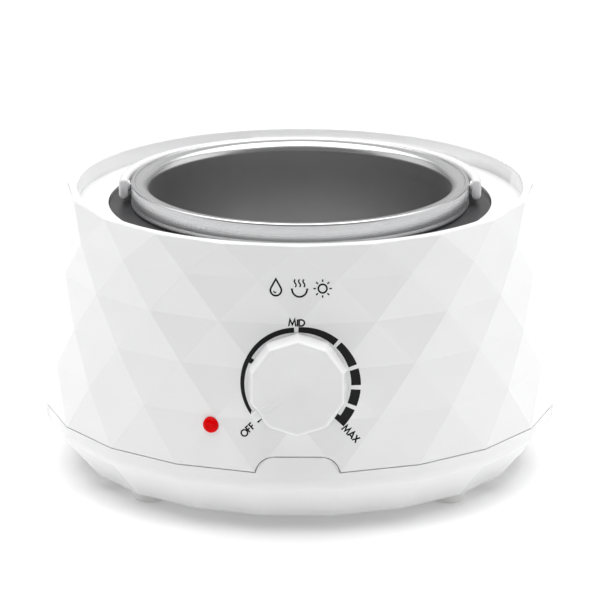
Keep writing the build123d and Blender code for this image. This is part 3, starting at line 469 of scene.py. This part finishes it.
def decagon(radius, soft, height, each=5):
    """Ring of points with its corners rounded, a corner straight up, at a height over the wall."""
    ring = []
    turn = 2 * pi / KNOB_SIDES
    inset = soft / cos(turn / 2)
    for k in range(KNOB_SIDES):
        angle = pi / 2 + k * turn
        centre = Vector((cos(angle), sin(angle))) * (radius - inset)
        for step in range(each):
            bend = angle + turn * (step / (each - 1) - 0.5)
            at = centre + Vector((cos(bend), sin(bend))) * soft
            ring.append((at.x, at.y, height))
    return ring


def rounded_bar(points, faces, place, size, soft):
    """Box with rounded edges added to a mesh, in a frame of its own."""
    lump = bmesh.new()
    bmesh.ops.create_cube(lump, size=1.0)
    bmesh.ops.scale(lump, vec=size, verts=lump.verts)
    bmesh.ops.bevel(
        lump, geom=lump.edges[:], offset=soft, offset_type="OFFSET", segments=4, profile=0.5, affect="EDGES",
        clamp_overlap=True,
    )
    start = len(points)
    points += [tuple(place @ vert.co) for vert in lump.verts]
    faces += [tuple(start + vert.index for vert in face.verts) for face in lump.faces]
    lump.free()


def knob_mesh():
    """Ten-sided knob with a dished face, a pointer of two ridges and a nub, and a hollow back with a hub."""
    rings = [
        (18.1, 0.8, 1.4), (18.2, 0.9, 1.75), (17.9, 0.9, 3.6), (17.25, 0.9, 7.0), (16.85, 0.9, 9.1),
        (16.75, 0.9, 9.45), (16.5, 0.9, 9.78), (16.2, 0.9, 9.94), (15.9, 0.9, 10.0), (15.45, 0.85, 9.97),
        (15.2, 0.8, 9.9), (12.0, 0.7, 9.62), (8.0, 1.2, 9.28), (5.6, 3.2, 9.08), (4.6, 4.2, 8.94),
        (3.7, 3.5, 8.72), (2.6, 2.5, 8.5), (1.4, 1.35, 8.37), (0.4, 0.35, 8.33),
    ]
    back = [
        (17.9, 0.8, 1.35), (16.4, 0.8, 1.35), (16.1, 0.8, 1.6), (15.0, 0.8, 6.5), (14.6, 0.8, 6.8),
        (5.9, 4.5, 6.8), (5.4, 5.0, 6.5), (5.4, 5.0, 1.5), (5.3, 4.9, 1.35), (3.3, 3.0, 1.35),
        (3.15, 2.9, 1.5),
        (3.15, 2.9, 6.8), (0.3, 0.25, 7.0),
    ]
    points, faces = [], []
    all_rings = [decagon(*ring) for ring in reversed(back)] + [decagon(*ring) for ring in rings]
    count = len(all_rings[0])
    for ring in all_rings:
        points += ring
    for k in range(len(all_rings) - 1):
        for i in range(count):
            j = (i + 1) % count
            faces.append((k * count + i, k * count + j, (k + 1) * count + j, (k + 1) * count + i))
    faces.append(tuple(range(count)))
    last = (len(all_rings) - 1) * count
    faces.append(tuple(last + i for i in range(count)))
    off = Matrix.Rotation(radians(POINTER_ANGLE), 4, "Z")
    nub = off @ Matrix.Translation((17.3, 0, 5.9))
    rounded_bar(points, faces, nub, (3.0, 3.2, 7.8), 0.7)
    for side in (-1.35, 1.35):
        slope = Matrix.Rotation(-atan2(9.92 - 9.2, 15.2 - 6.8), 4, "Y")
        ridge = off @ Matrix.Translation((11.2, side, 9.56)) @ slope
        rounded_bar(points, faces, ridge, (8.8, 0.5, 0.42), 0.16)
    points = [KNOB @ (Vector(p) * MM) for p in points]
    return mesh_object("knob_body", points, faces, KNOB_WHITE, sharp=50)


knob = knob_mesh()
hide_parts("control_knob")
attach(knob, "knob")

# ---------------------------------------------------------------- marks printed on the wall
bpy.context.view_layer.update()
wall = BVHTree.FromObject(shell, bpy.context.evaluated_depsgraph_get())
INK_T = 0.04
RAY_FROM = 0.02


def on_wall(u, v, lift):
    """Point of the wall behind (u, v) millimetres of the knob's plane, lifted off it."""
    start = KNOB @ Vector((u * MM, v * MM, RAY_FROM))
    hit, normal, _, _ = wall.ray_cast(start, -KNOB_OUT)
    return hit + normal * lift * MM


def printed(name, outlines):
    """Ink laid on the wall: each outline is a grid of (u, v) spots, rows by columns, in millimetres."""
    points, faces = [], []
    for grid in outlines:
        rows, cols = len(grid), len(grid[0])
        closed = grid[0] == grid[-1]
        top = len(points)
        points += [on_wall(u, v, INK_T) for row in grid for u, v in row]
        low = len(points)
        points += [on_wall(u, v, -INK_T) for row in grid for u, v in row]
        for r in range(rows - 1):
            for c in range(cols - 1):
                quad = (r * cols + c, r * cols + c + 1, (r + 1) * cols + c + 1, (r + 1) * cols + c)
                faces.append(tuple(top + n for n in quad))
                faces.append(tuple(low + n for n in reversed(quad)))
        right = [r * cols + cols - 1 for r in range(rows)]
        left = [r * cols for r in range(rows - 1, -1, -1)]
        ends = [] if closed else [list(range(cols)), [(rows - 1) * cols + c for c in range(cols - 1, -1, -1)]]
        for edge in [right, left] + ends:
            for a, b in zip(edge, edge[1:]):
                faces.append((top + b, top + a, low + a, low + b))
    made = mesh_object(name, points, faces, INK, sharp=60)
    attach(made, "housing")
    return made


DIAL_V = -0.4


def arc(start, end, inner, outer):
    """Grid of an arc about the dial's centre: angles clockwise from the top, radii at its start and end."""
    count = max(4, int(abs(end - start) / 1.5))
    grid = []
    for k in range(count + 1):
        share = k / count
        angle = radians(start + (end - start) * share)
        low = inner[0] + (inner[1] - inner[0]) * share
        high = outer[0] + (outer[1] - outer[0]) * share
        radii = [low + (high - low) * n / 4 for n in range(5)]
        grid.append([(r * sin(angle), DIAL_V + r * cos(angle)) for r in radii])
    return grid


R_IN = (18.6, 18.6)
printed("dial_marks", [
    arc(-135.4, -120, (18.6, 18.6), (19.6, 19.75)), arc(-120, -90, R_IN, (19.75, 20.0)),
    arc(-90, -40, R_IN, (20.0, 20.35)), arc(-40, -3.7, R_IN, (20.35, 20.4)),
    arc(-135.4, -126.8, (17.0, 17.0), (18.6, 18.6)), arc(-66.0, -60.2, (17.4, 17.4), (18.6, 18.6)),
    arc(0.7, 41.8, R_IN, (20.5, 21.2)), arc(45.6, 71.6, R_IN, (21.2, 21.7)),
    arc(75.7, 91.4, R_IN, (21.8, 22.0)),
    arc(95.7, 111.4, R_IN, (22.0, 22.0)), arc(115.4, 127.0, R_IN, (22.0, 22.0)),
    arc(127.0, 133.5, (17.0, 17.0), (22.0, 22.0)),
])


def ribbon(path, width, closed=False):
    """Grid of spots along a path of (u, v) spots, three across, with mitred corners."""
    spots = [Vector(p) for p in path]
    count = len(spots)
    offsets = []
    for k, at in enumerate(spots):
        before = spots[k - 1] if closed or k else None
        after = spots[(k + 1) % count] if closed or k < count - 1 else None
        legs = [(a, b) for a, b in ((before, at), (at, after)) if a is not None and b is not None]
        ways = [(b - a).normalized() for a, b in legs]
        sides = [Vector((-way.y, way.x)) for way in ways]
        middle = sum(sides, Vector((0, 0))).normalized()
        offsets.append(middle * width / 2 / max(0.35, middle.dot(sides[0])))
    rows = []
    for k in range(count if closed else count - 1):
        a, b = k, (k + 1) % count
        parts = max(1, int((spots[b] - spots[a]).length / 0.5))
        for n in range(parts):
            at = spots[a].lerp(spots[b], n / parts)
            off = offsets[a].lerp(offsets[b], n / parts)
            rows.append([at - off, at, at + off])
    last = 0 if closed else count - 1
    rows.append([spots[last] - offsets[last], spots[last], spots[last] + offsets[last]])
    return [[tuple(spot) for spot in row] for row in rows]


def round_path(centre, radius, start, end, steps=20):
    """Spots along an arc, its angles in degrees anticlockwise from the right."""
    angles = [radians(start + (end - start) * k / steps) for k in range(steps + 1)]
    return [(centre[0] + radius * cos(a), centre[1] + radius * sin(a)) for a in angles]


# Strokes of each letter on a cap height of 1: (path, whether it closes), with the letter's width.
STROKE = 0.22
LETTERS = {
    "M": (1.0, [([(0, 0), (0.16, 1), (0.5, 0.22), (0.84, 1), (1.0, 0)], False)]),
    "I": (0.0, [([(0, 0), (0, 1)], False)]),
    "D": (0.74, [([(0, 0.06), (0, 0.94)] + round_path((0.3, 0.5), 0.44, 90, -90), True)]),
    "O": (0.92, [(round_path((0.46, 0.5), 0.46, 0, 342, 19), True)]),
    "F": (0.44, [([(0, 0), (0, 0.93), (0.44, 0.93)], False), ([(0.08, 0.5), (0.38, 0.5)], False)]),
    "A": (0.8, [([(0, 0), (0.4, 1), (0.8, 0)], False), ([(0.2, 0.29), (0.6, 0.29)], False)]),
    "X": (0.64, [
        ([(0, 0), (0.64, 1)], False), ([(0, 1), (0.28, 0.56)], False), ([(0.36, 0.44), (0.64, 0)], False),
    ]),
}


def lettering(name, text, cap, gap, middle, turn):
    """A word printed on the wall, its middle at (u, v) millimetres, turned anticlockwise by some degrees."""
    total = sum(LETTERS[letter][0] for letter in text) + gap * (len(text) - 1)
    turned = Matrix.Rotation(radians(turn), 2)
    at, grids = -total / 2, []
    for letter in text:
        width, strokes = LETTERS[letter]
        for path, closed in strokes:
            placed = [Vector(middle) + turned @ Vector(((at + x) * cap, (y - 0.5) * cap)) for x, y in path]
            grids.append(ribbon(placed, STROKE * cap, closed))
        at += width + gap
    return printed(name, grids)


lettering("mark_mid", "MID", 2.45, 0.24, (-0.4, 21.6), 0)
lettering("mark_off", "OFF", 2.45, 0.2, (-17.5, -16.9), 45)
lettering("mark_max", "MAX", 2.45, 0.18, (18.5, -18.2), -45)


def drop_path(centre, radius, height):
    """Outline of a drop: most of a circle, drawn up to a point."""
    half = degrees(acos(radius / height))
    return [(centre[0], centre[1] + height)] + round_path(centre, radius, 90 - half, -270 + half, 24)


def wave_path(u, v, length, swing):
    """Upright wavy line that starts at (u, v)."""
    return [(u + swing * sin(2 * pi * k / 16), v + length * k / 16) for k in range(17)]


def ray_path(centre, angle, start, end):
    """Straight stroke away from a centre, between two distances."""
    return [(centre[0] + r * cos(angle), centre[1] + r * sin(angle)) for r in (start, end)]


SIGN_V = 31.4
DROP_AT = (-7.6, SIGN_V + 1.6)
BOWL_AT = (0.6, SIGN_V + 1.9)
SUN_AT = (8.6, SIGN_V + 2.2)
printed("wax_sign", [
    ribbon(drop_path(DROP_AT, 1.9, 3.9), 0.62, closed=True),
    ribbon(round_path(DROP_AT, 0.85, 200, 280, 6), 0.45),
    ribbon([(-2.4, BOWL_AT[1])] + round_path(BOWL_AT, 2.6, 180, 360, 16) + [(3.6, BOWL_AT[1])], 0.62),
    *[ribbon(wave_path(u, SIGN_V + 2.7, 2.7, 0.32), 0.5) for u in (-0.9, 0.6, 2.1)],
    ribbon(round_path(SUN_AT, 1.5, 0, 350, 24), 0.6, closed=True),
    *[ribbon(ray_path(SUN_AT, radians(45 * k), 2.3, 3.2), 0.5) for k in range(8)],
])

# ---------------------------------------------------------------- camera
HEIGHT, AWAY, PITCH, ROUND, LENS = 0.4927, 1.4587, 16.54, 0.5, 247.8
camera_data = bpy.data.cameras.new("camera")
camera_data.lens = LENS
camera_data.sensor_width = 36
camera = bpy.data.objects.new("camera", camera_data)
camera.location = AXIS + Vector((AWAY * sin(radians(ROUND)), -AWAY * cos(radians(ROUND)), HEIGHT))
camera.rotation_euler = (radians(90 - PITCH), 0, radians(ROUND))
bpy.context.scene.collection.objects.link(camera)
bpy.context.scene.camera = camera

# ---------------------------------------------------------------- floor and light
floor_mesh = bpy.data.meshes.new("floor")
FLOOR_HALF = 6.0
floor_corners = [(x * FLOOR_HALF, y * FLOOR_HALF, 0) for x, y in ((-1, -1), (1, -1), (1, 1), (-1, 1))]
floor_mesh.from_pydata(floor_corners, [], [(0, 1, 2, 3)])
floor = bpy.data.objects.new("floor", floor_mesh)
bpy.context.scene.collection.objects.link(floor)
floor_look, floor_nodes, floor_links, floor_shader = new_material("floor_paper")
paper = noise(floor_nodes, floor_links, 30.0)
floor_links.new(
    tinted(floor_nodes, floor_links, paper, (0.9, 0.9, 0.9), (0.92, 0.92, 0.92)),
    floor_shader.inputs["Base Color"],
)
floor_shader.inputs["Roughness"].default_value = 0.9
floor_shader.inputs["Emission Color"].default_value = (1, 1, 1, 1)
floor_shader.inputs["Emission Strength"].default_value = 0.16
floor_shader.inputs["Specular IOR Level"].default_value = 0.1
floor.data.materials.append(floor_look)


def softbox(name, at, towards, width, height, power):
    """Rectangular soft light at a place, looking at another."""
    lamp = bpy.data.lights.new(name, "AREA")
    lamp.shape = "RECTANGLE"
    lamp.size = width
    lamp.size_y = height
    lamp.energy = power
    made = bpy.data.objects.new(name, lamp)
    made.location = at
    made.rotation_euler = (Vector(towards) - Vector(at)).to_track_quat("-Z", "Y").to_euler()
    bpy.context.scene.collection.objects.link(made)
    return made


softbox("light_top", (0, 0.1, 1.2), (0, 0, 0), 1.8, 1.6, 23)
softbox("light_left", (-1.3, 0.1, 0.55), (0, 0, 0.06), 1.6, 1.1, 4.2)
softbox("light_right", (1.3, 0.1, 0.55), (0, 0, 0.06), 1.6, 1.1, 5.4)
softbox("light_back", (0, 1.4, 0.62), (0, 0, 0.1), 2.2, 0.6, 2.2)

world = bpy.data.worlds.new("studio")
world.use_nodes = True
world.node_tree.nodes["Background"].inputs["Color"].default_value = (1, 1, 1, 1)
world.node_tree.nodes["Background"].inputs["Strength"].default_value = 0.2
bpy.context.scene.world = world
bpy.context.scene.view_settings.view_transform = "Standard"
